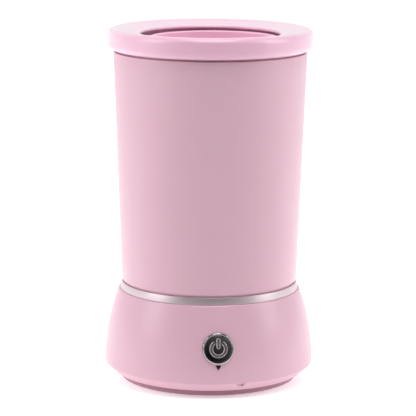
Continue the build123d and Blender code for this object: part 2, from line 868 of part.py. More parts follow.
def make_ring_nut():
    """Round nut behind the wall, with four notches for a spanner."""
    nut = ring(button_barrel_radius, nut_radius, -pad_depth - nut_height, -pad_depth)
    for angle in (45, 135, 225, 315):
        notch = Box(nut_notch, nut_notch, nut_height, align=(Align.CENTER, Align.CENTER, Align.MIN))
        nut -= Pos(0, 0, -pad_depth - nut_height) * Rot(0, 0, angle) * Pos(nut_radius, 0, 0) * notch
    return on_button(nut)


def cap_top():
    return button_head_proud + button_cap_proud


def make_button_cap():
    """Round cap on a hollow plunger."""
    disc = rod(0, 0, button_cap_radius, cap_top() - button_cap_thickness, cap_top())
    disc = fillet(disc.edges().group_by(Axis.Z)[-1], cap_edge_round)
    plunger = rod(0, 0, plunger_radius, plunger_bottom, cap_top() - button_cap_thickness)
    plunger -= rod(0, 0, plunger_bore_radius, plunger_bottom, plunger_bore_top)
    return on_button(disc + plunger - symbol_solid(symbol_depth, 0))


def symbol_solid(depth, proud):
    """Broken ring and upright bar, sunk into the cap by depth and standing proud of it."""
    half_gap = math.radians(symbol_gap_angle / 2)
    reach = symbol_outer_radius * 2
    wedge = make_face(Polyline(
        (0, 0), (reach * math.sin(half_gap), reach * math.cos(half_gap)),
        (-reach * math.sin(half_gap), reach * math.cos(half_gap)), close=True,
    ))
    broken = Circle(symbol_outer_radius) - Circle(symbol_inner_radius) - wedge
    width, height = symbol_bar
    bar = Pos(0, height / 2) * SlotOverall(height, width, rotation=90)
    shape = extrude(broken, depth + proud) + extrude(bar, depth + proud)
    return Pos(0, 0, cap_top() - depth) * shape


def make_power_symbol():
    return on_button(symbol_solid(symbol_depth, symbol_proud)).solids()


def make_button_spring():
    """Return spring between the plunger's bore and the contact block."""
    low = block_spigot_top + spring_wire_radius
    high = plunger_bore_top - spring_wire_radius
    coil = Helix(pitch=(high - low) / spring_turns, height=high - low, radius=spring_radius)
    wire = Plane(origin=coil @ 0, z_dir=coil % 0) * Circle(spring_wire_radius)
    return on_button(Pos(0, 0, low) * sweep(wire, path=coil, is_frenet=True))


def make_contact_block():
    body = rod(0, 0, block_radius, block_bottom, barrel_bottom)
    spigot = rod(0, 0, plunger_radius, barrel_bottom, block_spigot_top)
    return on_button(body + spigot)


def make_switch_tabs():
    width, thickness, length = switch_tab

    def one(side):
        tab = Box(width, thickness, length, align=(Align.CENTER, Align.CENTER, Align.MAX))
        return on_button(Pos(side * switch_tab_offset, 0, block_bottom) * tab)
    return both_sides(one)


def lens_outline(margin):
    """Triangle that points down, grown by margin on every side."""
    half = lens_width / 2
    low = lens_top - lens_height
    face = make_face(Polyline((-half, lens_top), (half, lens_top), (0, low), close=True))
    return offset(face, margin, kind=Kind.INTERSECTION) if margin else face


def make_indicator_lens():
    return on_button(Pos(0, 0, lens_back) * extrude(lens_outline(0), lens_face - lens_back))


def make_indicator_lamp():
    """Small lamp with two legs, behind the lens."""
    top = lens_back - fit
    body = Pos(0, led_offset, top - led_length) * extrude(Circle(led_radius), led_length)
    body = fillet(body.edges().group_by(Axis.Z)[-1], led_radius * 0.6)
    for side in (1, -1):
        body += Pos(side * led_pin_offset / 2, led_offset, top - led_length - led_pin_length) * extrude(
            Circle(led_pin_radius), led_pin_length
        )
    return on_button(body)


# Mains inlet.

def inlet_box(size_x, size_z, low_y, high_y, rounding=0.0):
    """Box behind the base's back wall, drawn by its two ends along Y."""
    outline = RectangleRounded(size_x, size_z, rounding) if rounding else Rectangle(size_x, size_z)
    return Pos(0, high_y, inlet_z) * Rot(90, 0, 0) * extrude(outline, high_y - low_y)


def make_power_inlet():
    """Two-pin inlet: rounded flange outside, body inside and a waisted socket."""
    face_y = inlet_plane_y + inlet_flange[2]
    inlet = inlet_box(inlet_flange[0], inlet_flange[1], inlet_plane_y, face_y, inlet_flange[2])
    inlet += inlet_box(inlet_body[0], inlet_body[1], inlet_back_y, inlet_plane_y)
    inlet -= inlet_box(2 * pin_offset, socket_waist, socket_floor_y, face_y)
    for side in (1, -1):
        lobe = extrude(Circle(socket_lobe_radius), face_y - socket_floor_y)
        inlet -= Pos(side * pin_offset, face_y, inlet_z) * Rot(90, 0, 0) * lobe
        pin_hole = extrude(Circle(pin_radius), face_y - inlet_back_y)
        inlet -= Pos(side * pin_offset, face_y, inlet_z) * Rot(90, 0, 0) * pin_hole
        screw_hole = extrude(Circle(screw_hole_radius), inlet_flange[2])
        inlet -= Pos(side * inlet_screw_offset, face_y, inlet_z) * Rot(90, 0, 0) * screw_hole
    return inlet


def make_inlet_pins():
    def one(side):
        pin = Pos(side * pin_offset, pin_tip_y, inlet_z) * Rot(90, 0, 0) * extrude(
            Circle(pin_radius), pin_tip_y - inlet_back_y
        )
        tab = Pos(side * pin_offset, inlet_back_y, inlet_z) * Box(
            *pin_tab, align=(Align.CENTER, Align.MAX, Align.CENTER)
        )
        return pin + tab
    return both_sides(one)


def make_inlet_screws():
    face_y = inlet_plane_y + inlet_flange[2]
    length = inlet_screw_length
    return [
        Pos(side * inlet_screw_offset, face_y, inlet_z) * Rot(90, 0, 0) * screw(0, 0, 0, length, True)
        for side in (1, -1)
    ]


# Leads inside the casing.

def make_inlet_leads():
    start_y = inlet_back_y - pin_tab[1]
    end_y = block_y + block_size[1] / 2
    end_z = board_top_z + block_size[2] / 2

    def one(side):
        return lead([
            (side * pin_offset, start_y, inlet_z),
            (side * pin_offset, start_y - inlet_lead_straight, inlet_z),
            (side * inlet_pole, end_y + inlet_lead_straight, end_z),
            (side * inlet_pole, end_y, end_z),
        ], lead_radius)
    return both_sides(one)


def make_heater_leads():
    top = board_top_z + block_size[2]
    terminal_y = terminal_reach - terminal_size[1] / 2 + heater_thickness / 2
    end_z = heater_low_z + terminal_size[2] / 2

    def one(side):
        return lead([
            (side * heater_pole, block_y, top),
            (side * heater_pole, block_y, deck_low_z - deck_approach),
            (side * heater_pole, grommet_y, base_top_z + spigot_height + spigot_clearance),
            (side * heater_pole, grommet_y, shell_post_top_z + shield_clearance),
            (side * terminal_offset, terminal_y, heater_low_z - heater_lead_drop),
            (side * terminal_offset, terminal_y, end_z),
        ], lead_radius)
    return both_sides(one)


def make_thermostat_leads():
    top = board_top_z + block_size[2]
    end_z = thermostat_low() - thermostat_tab[2]

    def one(side):
        return lead([
            (side * thermostat_pole, block_y, top),
            (side * thermostat_pole, block_y, top + thermostat_lead_rise),
            (side * thermostat_tab_offset, 0, end_z - thermostat_lead_drop),
            (side * thermostat_tab_offset, 0, end_z),
        ], lead_radius)
    return both_sides(one)


def make_switch_leads():
    tab_end = block_bottom - switch_tab[2]
    end_y = -board_size[1] / 2 + switch_lead_inset

    def one(side):
        start = button_point(side * switch_tab_offset, 0, tab_end)
        bend = button_point(side * switch_tab_offset, 0, tab_end - switch_lead_straight)
        return lead([
            start, bend, (side * switch_tab_offset, end_y, board_top_z + switch_lead_rise),
            (side * switch_tab_offset, end_y, board_top_z),
        ], lead_radius)
    return both_sides(one)


def make_indicator_leads():
    depth = lens_back - fit - led_length - led_pin_length
    board_z = (board_low_z + board_top_z) / 2
    front = -board_size[1] / 2

    def one(side):
        x = side * led_pin_offset / 2
        start = button_point(x, led_offset, depth)
        bend = button_point(x, led_offset, depth - lamp_lead_straight)
        return lead([start, bend, (x, front - lamp_lead_straight, board_z), (x, front, board_z)],
                    led_lead_radius)
    return both_sides(one)


# Write every piece.

makers = {
    "base_housing": make_base_housing,
    "bottom_cover": make_bottom_cover,
    "foot_ring": make_foot_ring,
    "cover_screws": make_cover_screws,
    "trim_band": make_trim_band,
    "body_shell": make_body_shell,
    "shell_screws": make_shell_screws,
    "collar_ring": make_collar_ring,
    "heater_well": make_heater_well,
    "well_gasket": make_well_gasket,
    "well_screws": make_well_screws,
    "inner_pot": make_inner_pot,
    "band_heater": make_band_heater,
    "clamp_bolt": make_clamp_bolt,
    "heater_terminals": make_heater_terminals,
    "insulation_sleeve": make_insulation_sleeve,
    "heat_shield": make_heat_shield,
    "shield_screws": make_shield_screws,
    "wire_grommet": make_wire_grommet,
    "thermostat": make_thermostat,
    "thermostat_tabs": make_thermostat_tabs,
    "sensor_screws": make_sensor_screws,
    "thermal_fuse": make_thermal_fuse,
    "fuse_clip": make_fuse_clip,
    "control_board": make_control_board,
    "board_screws": make_board_screws,
    "relay": make_relay,
    "capacitor": make_capacitor,
    "terminal_block": make_terminal_block,
    "button_bezel": make_button_bezel,
    "button_seal": make_button_seal,
    "ring_nut": make_ring_nut,
    "button_cap": make_button_cap,
    "power_symbol": make_power_symbol,
    "button_spring": make_button_spring,
    "contact_block": make_contact_block,
    "switch_tabs": make_switch_tabs,
    "indicator_lens": make_indicator_lens,
    "indicator_lamp": make_indicator_lamp,
    "power_inlet": make_power_inlet,
    "inlet_pins": make_inlet_pins,
    "inlet_screws": make_inlet_screws,
    "inlet_leads": make_inlet_leads,
    "heater_leads": make_heater_leads,
    "thermostat_leads": make_thermostat_leads,
    "switch_leads": make_switch_leads,
    "indicator_leads": make_indicator_leads,
}

os.makedirs("parts", exist_ok=True)
for node, make in makers.items():
    made = make()
    pieces = made if isinstance(made, (list, ShapeList)) else [made]
    solids = [solid for piece in pieces for solid in piece.solids()]
    shape = solids[0] if len(solids) == 1 else Compound(children=solids)
    shape.label = node
    export_step(shape, f"parts/{node}.step")
    print(node, len(solids), round(sum(solid.volume for solid in solids), 1))
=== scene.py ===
import bpy
import json
import math
import numpy as np
from mathutils import Matrix, Vector


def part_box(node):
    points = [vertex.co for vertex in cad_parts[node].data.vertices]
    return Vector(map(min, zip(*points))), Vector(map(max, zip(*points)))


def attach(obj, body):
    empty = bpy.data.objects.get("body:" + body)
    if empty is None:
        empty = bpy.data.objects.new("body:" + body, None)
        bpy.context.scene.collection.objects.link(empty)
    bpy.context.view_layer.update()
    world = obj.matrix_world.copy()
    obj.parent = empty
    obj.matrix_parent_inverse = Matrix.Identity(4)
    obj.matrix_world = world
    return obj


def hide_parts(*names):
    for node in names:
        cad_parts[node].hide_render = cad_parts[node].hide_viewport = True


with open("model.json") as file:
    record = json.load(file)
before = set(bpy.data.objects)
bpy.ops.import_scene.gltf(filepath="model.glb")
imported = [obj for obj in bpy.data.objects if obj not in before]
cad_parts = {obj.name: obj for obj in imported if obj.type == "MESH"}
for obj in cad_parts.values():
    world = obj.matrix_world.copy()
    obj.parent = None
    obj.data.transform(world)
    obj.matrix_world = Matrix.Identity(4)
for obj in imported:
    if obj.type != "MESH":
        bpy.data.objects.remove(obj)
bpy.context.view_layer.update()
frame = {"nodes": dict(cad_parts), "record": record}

print("frame loaded,", len(frame["nodes"]), "nodes")
mm = 0.001


# Corner points with a rounding radius each; every rounded corner becomes an arc tangent to both sides.
def roundedOutline(points, radii, arcSteps=10, closed=True):
    corners = np.array(points, float)
    outline = []
    count = len(corners)
    for index in range(count):
        corner, radius = corners[index], radii[index]
        if radius == 0 or (not closed and index in (0, count - 1)):
            outline.append(corner[None])
            continue
        toPrevious = corners[index - 1] - corner
        toNext = corners[(index + 1) % count] - corner
        toPrevious, toNext = toPrevious / np.linalg.norm(toPrevious), toNext / np.linalg.norm(toNext)
        half = math.acos(np.clip(toPrevious @ toNext, -1, 1)) / 2
        bisector = (toPrevious + toNext) / np.linalg.norm(toPrevious + toNext)
        centre = corner + bisector * radius / math.sin(half)
        start = corner + toPrevious * radius / math.tan(half) - centre
        finish = corner + toNext * radius / math.tan(half) - centre
        share = np.linspace(0, 1, arcSteps + 1)[:, None]
        sweep = math.acos(np.clip(start @ finish / radius ** 2, -1, 1))
        arc = (np.sin((1 - share) * sweep) * start + np.sin(share * sweep) * finish) / math.sin(sweep)
        outline.append(centre + arc)
    return np.concatenate(outline)


# Points along an arc: centre plus radius times cosine and sine of evenly spaced angles in degrees.
def arcPoints(centre, radius, fromDegrees, toDegrees, steps):
    angle = np.radians(np.linspace(fromDegrees, toDegrees, steps + 1))
    return np.stack([centre[0] + radius * np.cos(angle), centre[1] + radius * np.sin(angle)], 1)


# Adds points to an outline so that no straight stretch is longer than step.
def refine(outline, step, closed=True):
    following = np.roll(outline, -1, axis=0) if closed else outline[1:]
    starts = outline if closed else outline[:-1]
    length = np.linalg.norm(following - starts, axis=1)
    pieces = np.maximum(1, np.ceil(length / step).astype(int))
    owner = np.repeat(np.arange(len(starts)), pieces)
    offset = np.arange(pieces.sum()) - np.repeat(np.cumsum(pieces) - pieces, pieces)
    share = (offset / pieces[owner])[:, None]
    dense = starts[owner] * (1 - share) + following[owner] * share
    return dense if closed else np.concatenate([dense, outline[-1:]])


# Faces of a grid of rows by columns; wrapRows and wrapColumns join its last row or column to the first.
def gridFaces(rows, columns, wrapRows=False, wrapColumns=False):
    r = np.arange(rows if wrapRows else rows - 1)[:, None]
    c = np.arange(columns if wrapColumns else columns - 1)[None, :]
    nextR, nextC = (r + 1) % rows, (c + 1) % columns
    quads = np.stack([r * columns + c, r * columns + nextC, nextR * columns + nextC, nextR * columns + c], -1)
    return quads.reshape(-1, 4)


# A mesh object from vertices in millimetres, smooth but for edges sharper than sharpDegrees.
def makePiece(name, vertices, faces, sharpDegrees=35, flip=False, place=None):
    mesh = bpy.data.meshes.new(name)
    points = np.asarray(vertices, float).reshape(-1, 3) * mm
    if place is not None:
        points = points @ np.array(place.to_3x3()).T + np.array(place.translation)
    if isinstance(faces, np.ndarray):
        faces = [faces]
    sizes = np.concatenate([np.full(len(group), group.shape[1]) for group in faces])
    order = np.concatenate([(group[:, ::-1] if flip else group).ravel() for group in faces])
    mesh.vertices.add(len(points))
    mesh.vertices.foreach_set("co", points.ravel())
    mesh.loops.add(len(order))
    mesh.loops.foreach_set("vertex_index", order)
    mesh.polygons.add(len(sizes))
    mesh.polygons.foreach_set("loop_start", np.cumsum(sizes) - sizes)
    mesh.polygons.foreach_set("loop_total", sizes)
    mesh.update(calc_edges=True)
    mesh.validate()
    mesh.polygons.foreach_set("use_smooth", np.ones(len(mesh.polygons), bool))
    mesh.set_sharp_from_angle(angle=math.radians(sharpDegrees))
    piece = bpy.data.objects.new(name, mesh)
    bpy.context.scene.collection.objects.link(piece)
    return piece


# Closed outline of radius and height turned about Z: x = r cos a, y = r sin a, z = height.
# An outline that starts and ends on the axis gets a fan of triangles at each pole.
def lathe(name, outline, turns=256, centre=(0, 0), sharpDegrees=35, place=None):
    outline = np.asarray(outline, float)
    onAxis = abs(outline[0, 0]) < 1e-9 and abs(outline[-1, 0]) < 1e-9
    rim = outline[1:-1] if onAxis else outline
    angle = np.linspace(0, 2 * np.pi, turns, endpoint=False)
    x = centre[0] + rim[:, :1] * np.cos(angle)
    y = centre[1] + rim[:, :1] * np.sin(angle)
    z = np.repeat(rim[:, 1:], turns, axis=1)
    vertices = np.stack([x, y, z], -1).reshape(-1, 3)
    faces = [gridFaces(len(rim), turns, wrapRows=not onAxis, wrapColumns=True)]
    if onAxis:
        poles = np.array([[centre[0], centre[1], outline[0, 1]], [centre[0], centre[1], outline[-1, 1]]])
        first, last = len(vertices), len(vertices) + 1
        vertices = np.concatenate([vertices, poles])
        ringIndex = np.arange(turns)
        nextIndex = (ringIndex + 1) % turns
        bottom = (len(rim) - 1) * turns
        faces.append(np.stack([np.full(turns, first), nextIndex, ringIndex], 1))
        faces.append(np.stack([np.full(turns, last), bottom + ringIndex, bottom + nextIndex], 1))
    area = np.sum(outline[:, 0] * np.roll(outline[:, 1], -1) - np.roll(outline[:, 0], -1) * outline[:, 1])
    return makePiece(name, vertices, faces, sharpDegrees, flip=area < 0, place=place)


# Closed prism between two heights over an outline of x and y.
def prism(name, outline, low, high, place=None):
    outline = np.asarray(outline, float)
    count = len(outline)
    area = np.sum(outline[:, 0] * np.roll(outline[:, 1], -1) - np.roll(outline[:, 0], -1) * outline[:, 1])
    outline = outline if area > 0 else outline[::-1]
    vertices = np.concatenate([
        np.column_stack([outline, np.full(count, low)]), np.column_stack([outline, np.full(count, high)])
    ])
    walls = gridFaces(2, count, wrapColumns=True)
    caps = np.stack([np.arange(count)[::-1], np.arange(count) + count])
    return makePiece(name, vertices, [walls, caps], place=place)


# Cuts the cutters out of a piece and throws the cutters away.
def carve(piece, cutters, sharpDegrees=35):
    for cutter in cutters:
        cut = piece.modifiers.new("cut", "BOOLEAN")
        cut.operation = "DIFFERENCE"
        cut.solver = "EXACT"
        cut.object = cutter
    graph = bpy.context.evaluated_depsgraph_get()
    graph.update()
    carved = bpy.data.meshes.new_from_object(piece.evaluated_get(graph))
    piece.modifiers.clear()
    old, name = piece.data, piece.data.name
    piece.data = carved
    bpy.data.meshes.remove(old)
    carved.name = name
    carved.polygons.foreach_set("use_smooth", np.ones(len(carved.polygons), bool))
    carved.set_sharp_from_angle(angle=math.radians(sharpDegrees))
    for cutter in cutters:
        bpy.data.objects.remove(cutter)
    return piece


# A shader socket that Python arithmetic works on; each operator adds one Math node.
class Value:
    def __init__(self, recipe, socket):
        self.recipe, self.socket = recipe, socket

    def maths(self, operation, *others):
        return self.recipe.node("ShaderNodeMath", {"operation": operation}, self, *others).out()

    def __add__(self, other):
        return self.maths("ADD", other)

    __radd__ = __add__

    def __sub__(self, other):
        return self.maths("SUBTRACT", other)

    def __rsub__(self, other):
        return self.recipe.number(other).maths("SUBTRACT", self)

    def __mul__(self, other):
        return self.maths("MULTIPLY", other)

    __rmul__ = __mul__

    def __truediv__(self, other):
        return self.maths("DIVIDE", other)

    def __pow__(self, other):
        return self.maths("POWER", other)

    def sine(self):
        return self.maths("SINE")

    def clamp(self, low, high):
        return self.maths("MAXIMUM", low).maths("MINIMUM", high)


# A node that has been made; out() picks an output by name or number.
class Made:
    def __init__(self, recipe, node):
        self.recipe, self.node = recipe, node

    def out(self, name=0):
        return Value(self.recipe, self.node.outputs[name])


# One material's node tree. node() takes a type, its settings, and values or links for its sockets.
class Recipe:
    def __init__(self, name):
        self.material = bpy.data.materials.new(name)
        self.material.use_nodes = True
        self.tree = self.material.node_tree
        self.tree.nodes.clear()
        self.shader = self.node("ShaderNodeBsdfPrincipled")
        self.node("ShaderNodeOutputMaterial", {}, self.shader.out())
        self.place = self.node("ShaderNodeTexCoord").out("Object")

    def node(self, kind, settings=None, *inputs, **named):
        made = self.tree.nodes.new(kind)
        for key, value in (settings or {}).items():
            setattr(made, key, value)
        for key, value in list(enumerate(inputs)) + list(named.items()):
            socket = made.inputs[key if isinstance(key, int) else key.replace("_", " ")]
            if isinstance(value, Value):
                self.tree.links.new(value.socket, socket)
            elif value is not None:
                socket.default_value = value
        return Made(self, made)

    def number(self, value):
        return self.node("ShaderNodeMath", {"operation": "ADD"}, value, 0.0).out()

    def set(self, **sockets):
        for key, value in sockets.items():
            socket = self.shader.node.inputs[key.replace("_", " ")]
            if isinstance(value, Value):
                self.tree.links.new(value.socket, socket)
            else:
                socket.default_value = value

    def noise(self, scale, detail=3.0, roughness=0.5, stretch=(1, 1, 1)):
        spot = self.node("ShaderNodeMapping", {}, self.place, Scale=stretch).out()
        return self.node(
            "ShaderNodeTexNoise", {}, Vector=spot, Scale=scale, Detail=detail, Roughness=roughness
        ).out(0)

    def blend(self, amount, first, second):
        mix = self.node("ShaderNodeMix", {"data_type": "RGBA"})
        for key, value in ((0, amount), (6, first), (7, second)):
            socket = mix.node.inputs[key]
            if isinstance(value, Value):
                self.tree.links.new(value.socket, socket)
            else:
                socket.default_value = value
        return mix.out(2)

    def bump(self, height, distance, strength=1.0):
        made = self.node("ShaderNodeBump", {}, Height=height, Distance=distance, Strength=strength)
        self.set(Normal=made.out())

    # X, Y and Z of the object's own coordinates.
    def axes(self):
        parts = self.node("ShaderNodeSeparateXYZ", {}, self.place)
        return parts.out("X"), parts.out("Y"), parts.out("Z")


# A colour with its alpha.
def colour(red, green, blue):
    return (red, green, blue, 1.0)


# The same colour, darker or lighter.
def shade(tint, factor):
    return (tint[0] * factor, tint[1] * factor, tint[2] * factor, 1.0)


# Satin moulded plastic: broad faint mottling in colour and gloss, and a fine moulded grain in the surface.
def mouldedPlastic(name, tint, gloss=0.42, grain=1.0, coat=0.0, glow=0.0):
    recipe = Recipe(name)
    broad = recipe.noise(28.0, 2.0)
    fine = recipe.noise(900.0, 2.0)
    recipe.set(Base_Color=recipe.blend(broad, shade(tint, 0.985), shade(tint, 1.015)))
    recipe.set(Roughness=(gloss - 0.02) + broad * 0.04 + fine * 0.03)
    # With glow above nought, this emission is a painted glow in the plastic's own tint, standing in for
    # light.
    recipe.set(Coat_Weight=coat, Coat_Roughness=0.24, Emission_Color=tint, Emission_Strength=glow)
    recipe.bump(fine, 0.000012 * grain)
    return recipe.material


# Soft silicone: light passes a little way in, with a dusty bloom and a very fine matte grain.
def softSilicone(name, tint, gloss=0.5, depth=0.25, coat=0.0, bloom=0.1):
    recipe = Recipe(name)
    broad = recipe.noise(35.0, 3.0)
    fine = recipe.noise(1400.0, 2.0)
    recipe.set(Base_Color=recipe.blend(broad, shade(tint, 0.98), shade(tint, 1.02)))
    recipe.set(Roughness=(gloss - 0.03) + broad * 0.06)
    recipe.set(Subsurface_Weight=depth, Subsurface_Radius=(1.0, 0.45, 0.55), Subsurface_Scale=0.003)
    recipe.set(Coat_Weight=coat, Coat_Roughness=0.25, Sheen_Weight=bloom, Sheen_Roughness=0.4)
    recipe.bump(fine, 0.000015)
    return recipe.material


# Metal turned on a lathe about Z: fine rings by radius and height, smudged roughness.
def turnedMetal(name, tint, gloss=0.2, rings=9000.0, ringDepth=0.000004, smudge=0.08):
    recipe = Recipe(name)
    x, y, z = recipe.axes()
    radius = (x * x + y * y) ** 0.5
    lines = ((radius + z) * rings).sine()
    cloud = recipe.noise(60.0, 4.0)
    recipe.set(Base_Color=recipe.blend(cloud, shade(tint, 0.96), shade(tint, 1.04)), Metallic=1.0)
    recipe.set(Roughness=(gloss - smudge / 2) + cloud * smudge + lines * 0.015)
    recipe.bump(lines, ringDepth)
    return recipe.material


# Rolled or plated sheet: faint stretched streaks and cloudy roughness.
def platedMetal(name, tint, gloss=0.3, streak=(1, 1, 12), smudge=0.12):
    recipe = Recipe(name)
    lines = recipe.noise(260.0, 3.0, 0.6, streak)
    cloud = recipe.noise(80.0, 3.0)
    recipe.set(Base_Color=recipe.blend(cloud, shade(tint, 0.9), shade(tint, 1.08)), Metallic=1.0)
    recipe.set(Roughness=(gloss - smudge / 2) + lines * smudge)
    recipe.bump(lines, 0.000006)
    return recipe.material


# Dark cap with a painted reflection: greyer to its upper right, darker to its lower left, by x plus height.
def paintedReflectionCapMetal(name, tint, gloss=0.24):
    recipe = Recipe(name)
    low, high = np.array(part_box("button_cap"))[:, [0, 2]]
    middle = (low + high).sum() / 2
    span = (high - low).sum()
    x, _, z = recipe.axes()
    cloud = recipe.noise(420.0, 3.0)
    share = ((x + z - middle) / span + 0.2 + cloud * 0.3).clamp(0.0, 1.0)
    # Painted reflection: the base colour blends from a shaded copy to a lit copy of the tint, broken up by a
    # cloud.
    recipe.set(Base_Color=recipe.blend(share, shade(tint, 0.3), shade(tint, 4.2)), Metallic=1.0)
    recipe.set(Roughness=(gloss - 0.03) + cloud * 0.06)
    recipe.bump(cloud, 0.000006)
    return recipe.material


# Stamped power sign: a painted highlight on the edges round a darker face. The edge share grows with the
# distance from the bar's core line inside the bar's strip, and from the ring's middle circle elsewhere.
def stampedMetal(name, face, edge):
    recipe = Recipe(name)
    low, high = np.array(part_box("power_symbol"))[:, 2]
    x, _, z = recipe.axes()
    across = x / mm
    upward = (z - low) * (stamp["high"] - stamp["low"]) / (high - low) + stamp["low"]
    fromRing = ((across * across + upward * upward) ** 0.5 - stamp["ringMiddle"]).maths("ABSOLUTE")
    pastEnd = (upward - stamp["barTop"]).maths("MAXIMUM", stamp["barFoot"] - upward).maths("MAXIMUM", 0.0)
    fromBar = (across * across + pastEnd * pastEnd) ** 0.5
    inBar = across.maths("ABSOLUTE").maths("LESS_THAN", stamp["barReach"])
    inBar = inBar * upward.maths("GREATER_THAN", stamp["barLow"])
    distance = inBar * fromBar + (1.0 - inBar) * fromRing
    share = ((distance - stamp["edgeStart"]) / stamp["edgeBlend"]).clamp(0.0, 1.0)
    # Painted highlight: the edges get a pale colour and less metal, standing in for light caught on them.
    recipe.set(Base_Color=recipe.blend(share, face, edge), Metallic=recipe.number(0.85) - share * 0.35)
    recipe.set(Roughness=0.24 + recipe.noise(400.0, 2.0) * 0.06)
    return recipe.material


# Felted fibre blanket: tangled fibres at two scales.
def feltedFibre(name, tint):
    recipe = Recipe(name)
    tangle = recipe.noise(700.0, 6.0, 0.7, (1, 1, 3))
    tuft = recipe.noise(120.0, 4.0)
    recipe.set(Base_Color=recipe.blend(tangle, shade(tint, 0.75), shade(tint, 1.1)), Roughness=0.95)
    recipe.bump(tangle + tuft * 0.6, 0.0004)
    return recipe.material


# Braided wire sleeve: two crossing sets of slanted strands.
def braidedSleeve(name, tint):
    recipe = Recipe(name)
    x, y, z = recipe.axes()
    strands = 7000.0
    crossing = ((x + y + z) * strands).sine() * ((x - y + z) * strands).sine()
    recipe.set(Base_Color=recipe.blend(crossing * 0.5 + 0.5, shade(tint, 0.8), shade(tint, 1.05)))
    recipe.set(Roughness=0.8)
    recipe.bump(crossing, 0.00006)
    return recipe.material


# Smoked or tinted clear part: dark, glossy, with a faint cloud.
def tintedClear(name, tint, gloss=0.08):
    recipe = Recipe(name)
    cloud = recipe.noise(300.0, 2.0)
    recipe.set(Base_Color=recipe.blend(cloud, shade(tint, 0.85), shade(tint, 1.15)))
    recipe.set(Roughness=gloss + cloud * 0.05, Coat_Weight=0.6, Coat_Roughness=0.05)
    return recipe.material


# Circuit laminate: solder-mask green with paler tracks in two directions.
def boardLaminate(name, tint):
    recipe = Recipe(name)
    x, y, _ = recipe.axes()
    across = (x * 2200.0).sine().clamp(0.55, 0.8) * 4.0 - 2.2
    along = (y * 1500.0).sine().clamp(0.6, 0.85) * 4.0 - 2.4
    tracks = (across + along).clamp(0.0, 1.0)
    recipe.set(Base_Color=recipe.blend(tracks, shade(tint, 1.0), shade(tint, 1.8)), Roughness=0.35)
    recipe.bump(tracks, 0.00003)
    return recipe.material


tints = {
    "casing": colour(0.79, 0.485, 0.59),
    "collar": colour(0.92, 0.53, 0.70),
    "foot": colour(0.50, 0.27, 0.35),
    "pot": colour(0.88, 0.52, 0.69),
    "cover": colour(0.42, 0.23, 0.30),
    "chrome": colour(0.84, 0.79, 0.81),
    "satinChrome": colour(0.70, 0.60, 0.64),
    "darkChrome": colour(0.055, 0.052, 0.052),
    "symbol": colour(0.22, 0.20, 0.20),
    # Pale colour painted on the power sign's edges as a highlight.
    "symbolEdgeHighlight": colour(0.86, 0.74, 0.79),
    "aluminium": colour(0.72, 0.72, 0.73),
    "steel": colour(0.55, 0.55, 0.56),
    "brass": colour(0.78, 0.58, 0.27),
    "blackPlastic": colour(0.022, 0.022, 0.024),
    "lens": colour(0.02, 0.012, 0.016),
    "rubber": colour(0.02, 0.02, 0.02),
    "wool": colour(0.72, 0.69, 0.6),
    "relay": colour(0.02, 0.07, 0.3),
    "terminalBlock": colour(0.03, 0.25, 0.09),
    "board": colour(0.02, 0.16, 0.07),
    "lamp": colour(0.6, 0.04, 0.05),
    "sleeve": colour(0.62, 0.62, 0.58),
}

# Millimetres on the power sign's face, from its middle; the painted highlight on the edges starts at
# edgeStart.
stamp = {"low": -5.2, "high": 6.3, "ringMiddle": 4.2, "barReach": 1.3, "barLow": -0.5,
         "barFoot": 1.0, "barTop": 5.3, "edgeStart": 0.6, "edgeBlend": 0.2}

finishes = {
    "pink_casing": mouldedPlastic("satinPinkCasing", tints["casing"], gloss=0.33, grain=1.0, coat=0.15),
    "cover_plastic": mouldedPlastic("duskyCover", tints["cover"], gloss=0.55, grain=2.0),
    "foot_silicone": softSilicone("mauveFoot", tints["foot"], gloss=0.6, depth=0.05),
    "collar_silicone": softSilicone("pinkCollar", tints["collar"], gloss=0.4, coat=1.0, bloom=0.9),
    # The pot's glow is painted light, brightening it as if lit from inside.
    "pot_coating": mouldedPlastic("pinkPotPaintedGlowCoating", tints["pot"], gloss=0.38, grain=1.5, coat=0.2, glow=0.1),
    "band_chrome": turnedMetal("bandChrome", tints["satinChrome"], gloss=0.44, ringDepth=0.000002),
    "bezel_chrome": turnedMetal(
        "bezelChrome", tints["chrome"], gloss=0.12, rings=4000.0, ringDepth=0.000001, smudge=0.05
    ),
    "well_aluminium": turnedMetal(
        "spunAluminium", tints["aluminium"], gloss=0.34, rings=5200.0, ringDepth=0.00001, smudge=0.12
    ),
    # The cap's finish holds a painted reflection across its face.
    "cap_metal": paintedReflectionCapMetal("darkCap", tints["darkChrome"]),
    # The power sign's finish holds a painted highlight on its edges.
    "symbol_metal": stampedMetal("symbolPaintedHighlightMetal", tints["symbol"], tints["symbolEdgeHighlight"]),
    "screw_steel": platedMetal("zincScrews", tints["steel"]),
    "heater_steel": platedMetal("rolledSteel", tints["steel"], gloss=0.36, streak=(1, 1, 20)),
    "contact_brass": platedMetal("contactBrass", tints["brass"]),
    "seal_rubber": softSilicone("blackRubber", tints["rubber"], gloss=0.6, depth=0.0),
    "insulation_wool": feltedFibre("insulationWool", tints["wool"]),
    "black_plastic": mouldedPlastic("blackPlastic", tints["blackPlastic"], gloss=0.38, grain=3.0),
    "relay_plastic": mouldedPlastic("relayPlastic", tints["relay"], gloss=0.25),
    "block_plastic": mouldedPlastic("blockPlastic", tints["terminalBlock"], gloss=0.4),
    "board_laminate": boardLaminate("boardLaminate", tints["board"]),
    "lens_smoke": tintedClear("smokedLens", tints["lens"]),
    "lamp_epoxy": tintedClear("lampEpoxy", tints["lamp"], gloss=0.12),
    "lead_sleeve": braidedSleeve("braidedLead", tints["sleeve"]),
}

slotOf = {part["node"]: part["material_slot"] for part in frame["record"]["subparts"]}


